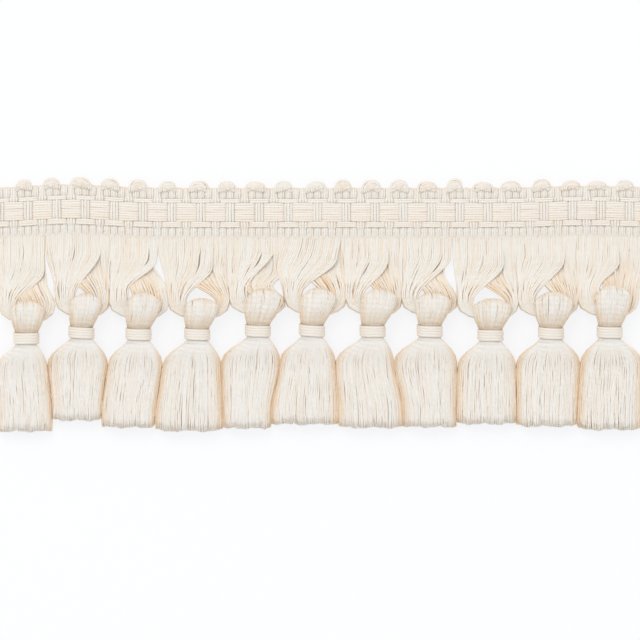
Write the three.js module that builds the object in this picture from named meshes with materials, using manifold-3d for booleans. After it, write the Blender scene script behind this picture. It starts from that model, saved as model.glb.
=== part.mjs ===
// Tassel fringe: a cut length of a woven, scalloped heading, hanging yarn loops gathered
// and crossed over each tassel, and eleven tied tassels with cut skirts. It lies on its
// back: X runs along the heading, Y up from the skirts to the scallops, Z out of its face.

import * as THREE from "three";
import { mergeVertices } from "three/addons/utils/BufferGeometryUtils.js";
import Module from "manifold-3d";

const wasm = await Module();
wasm.setup();

// Driving dimensions, in millimetres.
const LENGTH = 196;             // of the heading
const GAP = 0.3;                // between neighbouring pieces
const HEADING_TOP = 35.1;       // woven edge, below the scallops
const HEADING_BOTTOM = 20.1;
const REPEAT = 8.58;            // one scallop, four ribs, one float of each warp
const FIRST_REPEAT = -88.8;     // centre of the first scallop
const REPEATS = 22;             // whole repeats, one scallop each
const RIBS_PER_REPEAT = 4;
const RIB_VALLEY = 1.3;         // heights of the weave above the back
const RIB_RIDGE = 1.8;
const GROUND = 1.2;             // the cloth between the floats
const STRIP_HEIGHT = 1.2;       // strip that holds the hanging loops' roots
const STRIP_THICK = 2;
const STRAND_THICK = 1.1;       // of a hanging loop
const STRAND_GAP = 0.25;        // between loops side by side
const SWEEP_TOP = 16.2;         // below this the legs leave their straight fall
const LIFT = 2.6;               // rise of the legs that cross in front
const LIFT_FROM = 18.6;
const LIFT_TO = 13.2;
const TURN_RISE = 7.8;          // of the loops' turn over the tie
const DEEPEST_TURN = 6.3;
const SHALLOWEST_TURN = 1.9;
const HEAD_MIDDLE = 4;          // height of the loops' plane inside a head
const TIE_HEIGHT = 3.9;
const TIE_WIDTH = 7.8;
const TIE_THICK = 6.6;
const TIE_MIDDLE = 3.4;
const THREAD = 0.7;             // the tie's wall
const NECK = TIE_WIDTH / 2 - THREAD - GAP;
const NECK_THICK = TIE_THICK / 2 - THREAD - GAP;
const OVAL_SIDES = 12;
const FLARE = 3;                // drop in which a skirt gains most of its width

// The rows of ribs, and the warps that float over three ribs between them.
const RIB_ROWS = [
  { top: HEADING_TOP, bottom: 31.8 },
  { top: 23.25, bottom: HEADING_BOTTOM },
];
const WARPS = [
  { top: 31.7, bottom: 30.7, height: 2.15, phase: 0.5 },
  { top: 30.4, bottom: 25.1, height: 2.4, phase: 0 },
  { top: 24.7, bottom: 23.5, height: 2.15, phase: 0.5 },
];

// The scallops' heights differ a little, in a run of seven that comes again.
const SCALLOP_HEIGHTS = [2.7, 3.0, 2.45, 2.8, 2.6, 2.9, 2.5];
const SCALLOP_WIDTHS = [4.9, 5.4, 4.7, 5.2, 5.0, 5.5, 4.8];

// One row for each tassel, left to right. tieX and tieTop place the tie. headLeft and
// headRight are the head's reach to each side of the tie's middle, and rise is the
// head's height over the tie. skirtLeft, skirtRight and skirtEnd bound the skirt.
// loopLeft and loopRight bound the gathered loops, and eyeLeft and eyeRight are the
// inner edges of their two bundles. Neighbouring skirts share a bound.
const TASSELS = [
  { tieX: -87.9, tieTop: -8.1, headLeft: 4.8, headRight: 6.0, rise: 9.6,
    skirtLeft: -96.6, skirtRight: -80.3, skirtEnd: -38.1,
    loopLeft: -96.3, loopRight: -79.4, eyeLeft: -90.0, eyeRight: -84.3 },
  { tieX: -71.4, tieTop: -6.4, headLeft: 3.6, headRight: 6.6, rise: 8.6,
    skirtLeft: -80.3, skirtRight: -65.4, skirtEnd: -34.8,
    loopLeft: -79.1, loopRight: -62.1, eyeLeft: -72.9, eyeRight: -67.5 },
  { tieX: -54.3, tieTop: -6.9, headLeft: 3.9, headRight: 7.2, rise: 10.2,
    skirtLeft: -65.4, skirtRight: -49.4, skirtEnd: -36.9,
    loopLeft: -61.8, loopRight: -45.0, eyeLeft: -57.3, eyeRight: -50.4 },
  { tieX: -36.75, tieTop: -6.9, headLeft: 4.1, headRight: 6.7, rise: 8.8,
    skirtLeft: -49.4, skirtRight: -29.0, skirtEnd: -38.0,
    loopLeft: -44.7, loopRight: -26.8, eyeLeft: -39.9, eyeRight: -32.1 },
  { tieX: -18.6, tieTop: -5.9, headLeft: 3.9, headRight: 7.9, rise: 11.1,
    skirtLeft: -29.0, skirtRight: -14.7, skirtEnd: -37.2,
    loopLeft: -26.4, loopRight: -9.1, eyeLeft: -20.4, eyeRight: -13.5 },
  { tieX: -2.4, tieTop: -5.8, headLeft: 3.6, headRight: 7.6, rise: 10.2,
    skirtLeft: -14.7, skirtRight: 5.5, skirtEnd: -36.0,
    loopLeft: -8.7, loopRight: 8.4, eyeLeft: -4.2, eyeRight: 3.2 },
  { tieX: 15.75, tieTop: -6.0, headLeft: 3.4, headRight: 7.8, rise: 10.9,
    skirtLeft: 5.5, skirtRight: 25.0, skirtEnd: -37.0,
    loopLeft: 8.7, loopRight: 24.9, eyeLeft: 13.5, eyeRight: 21.6 },
  { tieX: 32.85, tieTop: -6.0, headLeft: 4.4, headRight: 6.7, rise: 9.3,
    skirtLeft: 25.0, skirtRight: 40.9, skirtEnd: -36.8,
    loopLeft: 25.2, loopRight: 42.0, eyeLeft: 29.4, eyeRight: 37.2 },
  { tieX: 51.0, tieTop: -7.2, headLeft: 5.4, headRight: 6.6, rise: 9.0,
    skirtLeft: 40.9, skirtRight: 58.8, skirtEnd: -35.9,
    loopLeft: 42.3, loopRight: 59.4, eyeLeft: 46.2, eyeRight: 55.5 },
  { tieX: 69.15, tieTop: -6.6, headLeft: 5.2, headRight: 7.0, rise: 9.9,
    skirtLeft: 58.8, skirtRight: 77.1, skirtEnd: -36.6,
    loopLeft: 60.0, loopRight: 77.9, eyeLeft: 64.5, eyeRight: 72.6 },
  { tieX: 86.7, tieTop: -6.3, headLeft: 4.5, headRight: 6.9, rise: 11.4,
    skirtLeft: 77.1, skirtRight: 96.5, skirtEnd: -37.6,
    loopLeft: 78.3, loopRight: 95.9, eyeLeft: 82.2, eyeRight: 91.2 },
];

// Where the two legs of each of a unit's loops start along it, from 0 at its left to 1
// at its right. The legs of the left bundle cross in front of the right one's.
const LOOPS = [
  { leftRoot: 0.07, rightRoot: 0.93 },
  { leftRoot: 0.2, rightRoot: 0.68 },
  { leftRoot: 0.555, rightRoot: 0.43 },
  { leftRoot: 0.805, rightRoot: 0.315 },
];

// The two layers of locks in a skirt. share is half a lock's width as a share of half
// the skirt's, and the heights are those at the neck and those where it lies.
const SKIRT_LAYERS = [
  { count: 7, share: 0.125, skip: 0, neckLow: 1.7, neckHigh: 3.2, low: 0, high: 2.1 },
  { count: 6, share: 0.14, skip: 2, neckLow: 3.5, neckHigh: 5.0, low: 2.4, high: 4.5 },
];
const LONGEST_LOCK = 3;         // the one that reaches the skirt's end
const SHORTER_BY = [0, 0.7, 0.2, 0.9, 0.4, 1.1, 0.3];

const yarn = (colour) => new THREE.MeshStandardMaterial({
  color: colour, roughness: 0.7, metalness: 0,
});
const MATERIALS = {
  heading: yarn("#eee4d4"),
  loops: yarn("#f1e8da"),
  tassel: yarn("#efe6d8"),
  tie: yarn("#ede2d1"),
};

// Closed bodies from rows of points

// A closed body through rings of equally many points, closed flat at both ends.
function loft(rings) {
  const count = rings[0].length;
  const positions = rings.flat().flatMap((p) => [p.x, p.y, p.z]);
  const index = [];
  for (let r = 0; r + 1 < rings.length; r += 1) {
    for (let k = 0; k < count; k += 1) {
      const a = r * count + k;
      const b = r * count + ((k + 1) % count);
      index.push(a, b, b + count, a, b + count, a + count);
    }
  }
  const last = (rings.length - 1) * count;
  for (let k = 1; k + 1 < count; k += 1) {
    index.push(0, k + 1, k, last, last + k, last + k + 1);
  }
  return facingOut(positions, index);
}

// The same triangles with their faces turned outward.
function facingOut(positions, index) {
  const geometry = new THREE.BufferGeometry();
  geometry.setAttribute("position", new THREE.Float32BufferAttribute(positions, 3));
  const at = (i) => new THREE.Vector3().fromArray(positions, 3 * i);
  let volume = 0;
  for (let t = 0; t < index.length; t += 3) {
    volume += at(index[t]).dot(at(index[t + 1]).cross(at(index[t + 2])));
  }
  geometry.setIndex(volume < 0 ? index.toReversed() : index);
  return geometry;
}

// Joining and cutting

function toSolid(geometry) {
  const bare = geometry.clone();
  bare.deleteAttribute("normal");
  bare.deleteAttribute("uv");
  const merged = mergeVertices(bare, 1e-5);
  return new wasm.Manifold(new wasm.Mesh({
    numProp: 3,
    vertProperties: new Float32Array(merged.attributes.position.array),
    triVerts: new Uint32Array(merged.index.array),
  }));
}

function toGeometry(solid) {
  const mesh = solid.getMesh();
  const geometry = new THREE.BufferGeometry();
  geometry.setAttribute("position", new THREE.BufferAttribute(mesh.vertProperties, 3));
  geometry.setIndex(new THREE.BufferAttribute(mesh.triVerts, 1));
  return geometry;
}

const join = (solids) => solids.reduce((whole, next) => whole.add(next));

// The heading

// A row of ribs side by side, a valley at each end: a section in XZ run along Y.
function ribRow(row) {
  const pitch = REPEAT / RIBS_PER_REPEAT;
  const end = LENGTH / 2;
  const section = new THREE.Shape();
  section.moveTo(-end, 0);
  section.lineTo(-end, RIB_VALLEY);
  const first = Math.ceil((-end - FIRST_REPEAT) / pitch + 0.25);
  for (let k = first; FIRST_REPEAT + (k + 0.6) * pitch < end; k += 1) {
    const middle = FIRST_REPEAT + k * pitch;
    section.lineTo(middle, RIB_RIDGE);
    section.lineTo(middle + pitch / 2, RIB_VALLEY);
  }
  section.lineTo(end, RIB_VALLEY);
  section.lineTo(end, 0);
  const depth = row.top - row.bottom;
  const prism = new THREE.ExtrudeGeometry(section, { depth, bevelEnabled: false });
  prism.rotateX(Math.PI / 2);
  prism.translate(0, row.top, 0);
  return toSolid(prism);
}

// A raised block with sloping ends, from left to right and bottom to top.
function block(left, right, bottom, top, height, slope) {
  const ring = (z, inset) => [
    new THREE.Vector3(left + inset, bottom, z),
    new THREE.Vector3(right - inset, bottom, z),
    new THREE.Vector3(right - inset, top, z),
    new THREE.Vector3(left + inset, top, z),
  ];
  return toSolid(loft([ring(0.5, 0), ring(height, slope)]));
}

// One warp's floats: over three ribs, then down for the rib at its phase.
function warpFloats(warp) {
  const rib = REPEAT / RIBS_PER_REPEAT;
  const edge = LENGTH / 2 - 0.4;
  const floats = [];
  for (let k = -2; k <= REPEATS; k += 1) {
    const dip = FIRST_REPEAT + (k + warp.phase) * REPEAT;
    const left = Math.max(dip + 0.4 * rib, -edge);
    const right = Math.min(dip + REPEAT - 0.4 * rib, edge);
    if (right - left > rib) {
      floats.push(block(left, right, warp.bottom, warp.top, warp.height, 0.35));
    }
  }
  return floats;
}

// The ribs that show between the middle warp's floats.
function bareRibs(warp) {
  const half = 0.28 * REPEAT / RIBS_PER_REPEAT;
  return Array.from({ length: REPEATS }, (_, k) => {
    const middle = FIRST_REPEAT + k * REPEAT;
    return block(middle - half, middle + half, warp.bottom, warp.top, RIB_RIDGE + 0.1, half / 2);
  });
}

// A fat yarn loop that turns over the heading's edge.
function scallop(x, width, height) {
  const ring = (z, share) => {
    const points = [];
    for (let k = 0; k <= 4; k += 1) {
      const turn = Math.PI * k / 4;
      points.push(new THREE.Vector3(
        x + share * width / 2 * Math.cos(turn),
        HEADING_TOP - 0.2 + (share * height + 0.2) * Math.sin(turn),
        z,
      ));
    }
    points.push(new THREE.Vector3(x - share * width / 2, HEADING_TOP - 0.6, z));
    points.push(new THREE.Vector3(x + share * width / 2, HEADING_TOP - 0.6, z));
    return points;
  };
  return toSolid(loft([ring(0, 1), ring(2, 0.74)]));
}

function headingGeometry() {
  const [upper, lower] = RIB_ROWS;
  const end = LENGTH / 2;
  const ground = toSolid(loft([0, GROUND].map((z) => [
    new THREE.Vector3(-end, lower.top, z),
    new THREE.Vector3(end, lower.top, z),
    new THREE.Vector3(end, upper.bottom, z),
    new THREE.Vector3(-end, upper.bottom, z),
  ])));
  const scallops = Array.from({ length: REPEATS }, (_, k) => scallop(
    FIRST_REPEAT + k * REPEAT,
    SCALLOP_WIDTHS[k % SCALLOP_WIDTHS.length],
    SCALLOP_HEIGHTS[k % SCALLOP_HEIGHTS.length],
  ));
  return toGeometry(join([
    ground,
    ...RIB_ROWS.map(ribRow),
    ...WARPS.flatMap(warpFloats),
    ...bareRibs(WARPS[1]),
    ...scallops,
  ]));
}

// The hanging loops

const mix = THREE.MathUtils.lerp;
const ease = (from, to, at) => THREE.MathUtils.smoothstep((at - from) / (to - from), 0, 1);

// Where one unit's loops turn inside the head, and where its legs are gathered.
function unitPlan(unit) {
  const middle = unit.tieX + (unit.headRight - unit.headLeft) / 2;
  return {
    middle,
    turnY: unit.tieTop + TURN_RISE,
    waistY: unit.tieTop + unit.rise + 0.4,
  };
}

// The points of one loop: down its left leg, round inside the head, up its right leg.
// The left legs rise off the surface and cross in front of the right ones.
function loopPath(unit, loop, order) {
  const { middle, turnY, waistY } = unitPlan(unit);
  const width = unit.loopRight - unit.loopLeft;
  const spread = (order + 0.5) / LOOPS.length;
  const sides = {
    left: {
      root: unit.loopLeft + loop.leftRoot * width,
      waist: mix(unit.loopLeft, unit.eyeLeft, spread),
      wide: (unit.eyeLeft - unit.loopLeft) / LOOPS.length - STRAND_GAP,
      lift: LIFT,
    },
    right: {
      root: unit.loopLeft + loop.rightRoot * width,
      waist: mix(unit.loopRight, unit.eyeRight, spread),
      wide: (unit.loopRight - unit.eyeRight) / LOOPS.length - STRAND_GAP,
      lift: 0,
    },
  };
  const legAt = ({ root, waist, wide, lift }, y) => {
    const gathered = ease(SWEEP_TOP, waistY, y);
    const slope = (ease(SWEEP_TOP, waistY, y - 0.5) - gathered) * (waist - root) / 0.5;
    const lifted = STRIP_THICK / 2 + lift * ease(LIFT_FROM, LIFT_TO, y);
    return {
      x: mix(root, waist, gathered),
      y,
      z: mix(lifted, HEAD_MIDDLE, ease(mix(SWEEP_TOP, waistY, 0.62), waistY, y)),
      width: mix(width / 8 - 0.4, wide, gathered) / Math.hypot(1, slope),
    };
  };
  const inStrip = HEADING_BOTTOM - GAP - STRIP_HEIGHT / 2;
  const sweep = [0, 0.32, 0.6, 1].map((part) => mix(SWEEP_TOP, waistY, part));
  const levels = [inStrip, ...sweep, turnY];
  const depth = mix(DEEPEST_TURN, SHALLOWEST_TURN, order / (LOOPS.length - 1));
  const bend = [0.25, 0.5, 0.75].map((part) => {
    const turn = part * Math.PI;
    const side = part > 0.5 ? sides.right : sides.left;
    return {
      x: middle - Math.abs(side.waist - middle) * Math.cos(turn),
      y: turnY - depth * Math.sin(turn),
      z: HEAD_MIDDLE,
      width: 0.85,
    };
  });
  return [
    ...levels.map((y) => legAt(sides.left, y)),
    ...bend,
    ...levels.toReversed().map((y) => legAt(sides.right, y)),
  ];
}

// A strand of three sides along points that each have a width, a ridge on its face.
function strand(points, thick) {
  const rings = points.map((point, k) => {
    const before = points[Math.max(k - 1, 0)];
    const after = points[Math.min(k + 1, points.length - 1)];
    const across = new THREE.Vector3(before.y - after.y, after.x - before.x, 0).normalize();
    const base = new THREE.Vector3(point.x, point.y, point.z - thick / 2);
    return [
      base.clone().addScaledVector(across, point.width / 2),
      base.clone().addScaledVector(across, -point.width / 2),
      new THREE.Vector3(point.x, point.y, point.z + thick / 2),
    ];
  });
  return loft(rings);
}

function loopsGeometry() {
  const strip = new THREE.BoxGeometry(LENGTH, STRIP_HEIGHT, STRIP_THICK);
  strip.translate(0, HEADING_BOTTOM - GAP - STRIP_HEIGHT / 2, STRIP_THICK / 2);
  const solids = [toSolid(strip)];
  TASSELS.forEach((unit) => {
    LOOPS.forEach((loop, order) => {
      solids.push(toSolid(strand(loopPath(unit, loop, order), STRAND_THICK)));
    });
  });
  return toGeometry(join(solids));
}

// The tassels

// A squarish oval ring across a tassel, flat below where it would pass the surface.
function ovalRing(x, y, halfWidth, middleZ, halfThick) {
  const square = (value) => Math.sign(value) * Math.abs(value) ** 0.8;
  return Array.from({ length: OVAL_SIDES }, (_, k) => {
    const turn = 2 * Math.PI * (k + 0.5) / OVAL_SIDES;
    return new THREE.Vector3(
      x + halfWidth * square(Math.cos(turn)),
      y,
      Math.max(0, middleZ + halfThick * square(Math.sin(turn))),
    );
  });
}

// The folded skein over its loops: neck, shoulder, belly and rounded fold.
function headSolid(unit) {
  const lean = (unit.headRight - unit.headLeft) / 2;
  const belly = (unit.headRight + unit.headLeft) / 2;
  const rows = [
    { up: -TIE_HEIGHT - GAP, half: NECK, thick: NECK_THICK, z: TIE_MIDDLE, shift: 0 },
    { up: 0.1, half: NECK, thick: NECK_THICK, z: TIE_MIDDLE, shift: 0 },
    { up: 0.9, half: 3.9, thick: 3.2, z: 3.5, shift: 0.1 },
    { up: 0.38 * unit.rise, half: 0.94 * belly, thick: 4.3, z: HEAD_MIDDLE, shift: 0.65 },
    { up: 0.72 * unit.rise, half: belly, thick: 4.2, z: HEAD_MIDDLE, shift: 1 },
    { up: unit.rise, half: 0.7 * belly, thick: 2.2, z: HEAD_MIDDLE, shift: 1 },
  ];
  return toSolid(loft(rows.map((row) => ovalRing(
    unit.tieX + row.shift * lean,
    unit.tieTop + row.up,
    row.half,
    row.z,
    row.thick,
  ))));
}

// The way through the head that its loops fill, open at both of its sides.
function loopWay(unit) {
  const { middle, turnY } = unitPlan(unit);
  const arc = (left, right, depth, count) => {
    const points = [];
    for (let k = 0; k <= count; k += 1) {
      const turn = Math.PI * k / count;
      const reach = turn < Math.PI / 2 ? middle - left : right - middle;
      points.push([middle - reach * Math.cos(turn), turnY - depth * Math.sin(turn)]);
    }
    return points;
  };
  const above = turnY + 12;
  const outer = arc(unit.loopLeft - 1, unit.loopRight + 1, DEEPEST_TURN + 1, 8);
  const inner = arc(unit.eyeLeft + 0.2, unit.eyeRight - 0.2, SHALLOWEST_TURN - 0.9, 4).toReversed();
  const outline = [
    [outer[0][0], above], ...outer, [outer.at(-1)[0], above],
    [inner[0][0], above], ...inner, [inner.at(-1)[0], above],
  ];
  const shape = new THREE.Shape(outline.map(([x, y]) => new THREE.Vector2(x, y)));
  const depth = STRAND_THICK + 2 * GAP + 0.1;
  const way = new THREE.ExtrudeGeometry(shape, { depth, bevelEnabled: false });
  way.translate(0, 0, HEAD_MIDDLE - depth / 2);
  return toSolid(way);
}

// One lock of the skirt: from its root in the neck, out with the flare, down to its end.
function lock(unit, layer, place, order) {
  const top = unit.tieTop - TIE_HEIGHT;
  const rooted = 0.84 * NECK;
  const half = (unit.skirtRight - unit.skirtLeft - GAP) / 2;
  const middle = (unit.skirtRight + unit.skirtLeft) / 2;
  const shorter = SHORTER_BY[(order * 3 + layer.skip) % SHORTER_BY.length];
  const end = unit.skirtEnd + (order === LONGEST_LOCK ? 0 : shorter);
  const levels = [top + 0.15, top - 2, top - 6.5, end];
  const rings = levels.map((y) => {
    const down = Math.max(0, top - GAP - y);
    const flare = 1 - Math.exp(-((down / FLARE) ** 1.2));
    const settle = ease(0, 7, down);
    const reach = mix(rooted, half, flare);
    const x = mix(unit.tieX, middle, flare) + place * reach;
    const halfWidth = reach * layer.share;
    const low = mix(layer.neckLow, layer.low, settle);
    const high = mix(layer.neckHigh, layer.high, settle);
    return [
      new THREE.Vector3(x - halfWidth, y, low),
      new THREE.Vector3(x + halfWidth, y, low),
      new THREE.Vector3(x, y, high),
    ];
  });
  return toSolid(loft(rings));
}

function tasselGeometry(unit) {
  const head = headSolid(unit).subtract(loopWay(unit));
  const locks = SKIRT_LAYERS.flatMap((layer) => Array.from({ length: layer.count }, (_, k) => {
    const span = 1 - layer.share;
    return lock(unit, layer, mix(-span, span, k / (layer.count - 1)), k);
  }));
  return toGeometry(join([head, ...locks]));
}

// The thread wound round the neck: three ridges on an oval band.
function tieGeometry(unit) {
  const profile = [
    { out: 0, up: 0 },
    { out: THREAD - 0.05, up: 0.1 },
    { out: THREAD - 0.25, up: 1.3 },
    { out: THREAD, up: 1.95 },
    { out: THREAD - 0.25, up: 2.6 },
    { out: THREAD - 0.05, up: 3.8 },
    { out: 0, up: TIE_HEIGHT },
  ];
  const rings = profile.map(({ out, up }) => ovalRing(
    unit.tieX,
    unit.tieTop - TIE_HEIGHT + up,
    TIE_WIDTH / 2 - THREAD + out,
    TIE_MIDDLE,
    TIE_THICK / 2 - THREAD + out,
  ));
  const index = [];
  rings.forEach((_, r) => {
    const a = r * OVAL_SIDES;
    const b = ((r + 1) % rings.length) * OVAL_SIDES;
    for (let k = 0; k < OVAL_SIDES; k += 1) {
      const next = (k + 1) % OVAL_SIDES;
      index.push(a + k, a + next, b + next, a + k, b + next, b + k);
    }
  });
  return facingOut(rings.flat().flatMap((p) => [p.x, p.y, p.z]), index);
}

// The whole length

const trim = new THREE.Group();

function addPiece(name, geometry, material) {
  const mesh = new THREE.Mesh(geometry, material);
  mesh.name = name;
  trim.add(mesh);
}

addPiece("heading", headingGeometry(), MATERIALS.heading);
addPiece("loops", loopsGeometry(), MATERIALS.loops);
TASSELS.forEach((unit, k) => {
  const number = String(k + 1).padStart(2, "0");
  addPiece(`tassel_${number}`, tasselGeometry(unit), MATERIALS.tassel);
  addPiece(`tie_${number}`, tieGeometry(unit), MATERIALS.tie);
});

export default trim;
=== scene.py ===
import math

import bpy
import numpy as np
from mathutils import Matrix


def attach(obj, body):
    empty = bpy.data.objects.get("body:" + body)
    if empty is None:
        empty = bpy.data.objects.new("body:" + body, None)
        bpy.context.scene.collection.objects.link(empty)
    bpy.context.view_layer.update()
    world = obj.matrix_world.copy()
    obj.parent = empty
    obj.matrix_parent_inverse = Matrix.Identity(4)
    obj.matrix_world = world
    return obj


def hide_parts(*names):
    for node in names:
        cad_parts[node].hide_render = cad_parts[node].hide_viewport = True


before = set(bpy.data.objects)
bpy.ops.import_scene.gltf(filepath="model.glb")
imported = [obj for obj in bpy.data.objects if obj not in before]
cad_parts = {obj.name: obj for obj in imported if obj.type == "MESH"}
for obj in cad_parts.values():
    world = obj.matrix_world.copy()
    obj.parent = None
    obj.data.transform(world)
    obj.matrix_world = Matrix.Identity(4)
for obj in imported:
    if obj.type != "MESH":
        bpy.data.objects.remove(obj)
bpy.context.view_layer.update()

# A length of tassel fringe, yarn by yarn. Sizes are in millimetres in the CAD frame, with X
# along the heading, Y up from the skirts to the scallops and Z out of the face, until a
# piece becomes a mesh, in metres.
MM = 0.001
ALONG_X = (1, 0, 0)
ALONG_Y = (0, 1, 0)
ALONG_Z = (0, 0, 1)


# The plan of the trim

LENGTH = 196
HEADING_TOP = 35.1
HEADING_BOTTOM = 20.1
TURN_RISE = 7.8                  # of the loops' turn over the tie
HEAD_MIDDLE = 4.0                # height of the loops' plane inside a head
TIE_HEIGHT = 3.9
TIE_WIDTH = 7.8
TIE_THICK = 6.6
TIE_MIDDLE = 3.4

# One row for each tassel, left to right: the tie's middle and top, the head's reach to
# each side of it and its rise over the tie, the skirt's bounds and end, and the inner
# edges of the two bundles of loops that go through the head.
TASSEL_COLUMNS = (
    "tie_x", "tie_top", "head_left", "head_right", "rise", "skirt_left", "skirt_right",
    "skirt_end", "eye_left", "eye_right",
)
TASSELS = (
    (-87.9, -8.1, 4.8, 6.0, 9.4, -96.6, -80.3, -38.1, -90.0, -84.3),
    (-71.4, -6.4, 3.6, 6.6, 9.8, -80.3, -65.4, -34.8, -72.9, -67.5),
    (-54.3, -6.9, 3.9, 7.2, 10.6, -65.4, -49.4, -36.9, -57.3, -50.4),
    (-36.75, -6.9, 4.1, 6.7, 8.8, -49.4, -29.0, -38.0, -39.9, -32.1),
    (-18.6, -5.9, 3.9, 7.9, 10.7, -29.0, -14.7, -37.2, -20.4, -13.5),
    (-2.4, -5.8, 3.6, 7.6, 10.9, -14.7, 5.5, -36.0, -4.2, 3.2),
    (15.75, -6.0, 3.4, 7.8, 10.9, 5.5, 25.0, -37.0, 13.5, 21.6),
    (32.85, -6.0, 4.4, 6.7, 9.7, 25.0, 40.9, -36.8, 29.4, 37.2),
    (51.0, -7.2, 5.4, 6.6, 9.0, 40.9, 58.8, -35.9, 46.2, 55.5),
    (69.15, -6.6, 5.2, 7.0, 10.4, 58.8, 77.1, -36.6, 64.5, 72.6),
    (86.7, -6.3, 4.5, 6.9, 12.2, 77.1, 96.5, -37.6, 82.2, 91.2),
)

# One row for each tassel's two bundles of loops: their outer edges over the head, where the
# front bundle's inner edge starts and where it meets the head, the drop in which it sweeps,
# and where the back bundle's inner edge meets the head.
BUNDLE_COLUMNS = (
    "left_edge", "right_edge", "front_root", "front_meet", "sweep_top", "sweep_end", "back_meet",
)
BUNDLES = (
    (-96.3, -79.0, -82.65, -90.6, 9.9, 0.3, -90.0),
    (-79.4, -62.6, -65.7, -73.2, 15.9, 2.7, -68.7),
    (-63.5, -44.9, -48.9, -57.3, 13.5, 4.5, -56.0),
    (-45.8, -26.7, -32.1, -39.9, 11.7, 1.2, -31.2),
    (-27.6, -9.6, -13.8, -21.3, 16.5, 5.1, -19.6),
    (-10.9, 8.3, 6.3, -5.1, 14.1, 3.3, 1.2),
    (7.3, 24.9, 20.4, 12.6, 13.5, 1.5, 17.4),
    (24.0, 41.8, 39.0, 29.4, 14.1, 2.1, 32.2),
    (40.7, 59.7, 54.9, 45.9, 12.3, 0.9, 55.5),
    (58.8, 77.7, 73.2, 64.5, 12.9, 1.8, 70.4),
    (76.8, 95.6, 89.4, 84.0, 12.9, 5.1, 84.4),
)
UNITS = [
    dict(zip(TASSEL_COLUMNS + BUNDLE_COLUMNS, tassel + bundle))
    for tassel, bundle in zip(TASSELS, BUNDLES)
]

# What the random draws start from: alone, or with a unit's number added.
HEADING_SEED = 11
LOOPS_SEED = 300
TASSEL_SEED = 500
TIE_SEED = 700

# Where the heading rises a little, as it doesn't lie dead straight.
SWAYS = (
    # middle, half width, rise
    (-75, 15, 1.05),
    (80, 16, 0.6),
)
SWAY_FROM = 6                    # below this height the hanging yarns don't follow it


# Shaping helpers

def mix(a, b, share):
    """The value a share of the way from a to b."""
    return a + (b - a) * share


def ease(start, end, at):
    """A smooth step from 0 at start to 1 at end, where start may be the larger."""
    share = np.clip((np.asarray(at, float) - start) / (end - start), 0, 1)
    return share * share * (3 - 2 * share)


def hump(at, middle, half_width):
    """1 at the middle, and falling away to both sides."""
    return np.exp(-(((at - middle) / half_width) ** 2))


def boxy(value, power):
    """A sine or cosine raised to a power with its sign kept, which is boxier below 1."""
    return np.sign(value) * np.abs(value) ** power


def vary(rng, middle, reach, shape=None):
    """Values spread evenly to reach on each side of the middle."""
    return middle + reach * rng.uniform(-1, 1, shape)


def wander(rng, count, steps, size, waves, turns):
    """A smooth side drift for each of count yarns: a few slow waves with their own phases."""
    at = np.linspace(0, 1, steps)
    total = np.zeros((count, steps))
    for k in range(1, waves + 1):
        phase = rng.uniform(0, 2 * np.pi, (count, 1))
        strength = rng.normal(0, 1, (count, 1)) / k
        total += strength * np.sin(2 * np.pi * turns * k * at + phase)
    return size * total


def join(x, y, z):
    """Coordinates that are each an array or one value, as points."""
    return np.stack(np.broadcast_arrays(x, y, z), axis=-1)


def sway(points):
    """The points, moved with the heading where it rises."""
    x, y = points[..., 0], points[..., 1]
    rise = sum(height * hump(x, middle, half_width) for middle, half_width, height in SWAYS)
    moved = points.copy()
    moved[..., 1] += rise * ease(SWAY_FROM, HEADING_BOTTOM, y)
    return moved


# Pieces and meshes

# A yarn's own cell in the bake's UV square: its wall above, and its two end caps below.
CELL_GAP = 0.06
WALL_WIDTH = 0.88
WALL_HEIGHT = 0.92
CAP_PLACES = (0.25, 0.75)
CAP_LEVEL = 0.028
CAP_HALF_WIDTH = 0.1
CAP_HALF_HEIGHT = 0.02


def add_piece(name, mesh, material, slot, *nodes):
    """The mesh as a piece of the part, which stands for the CAD nodes."""
    mesh.materials.append(material)
    obj = bpy.data.objects.new(name, mesh)
    bpy.context.collection.objects.link(obj)
    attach(obj, "root")
    if nodes:
        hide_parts(*nodes)
    return obj


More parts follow.
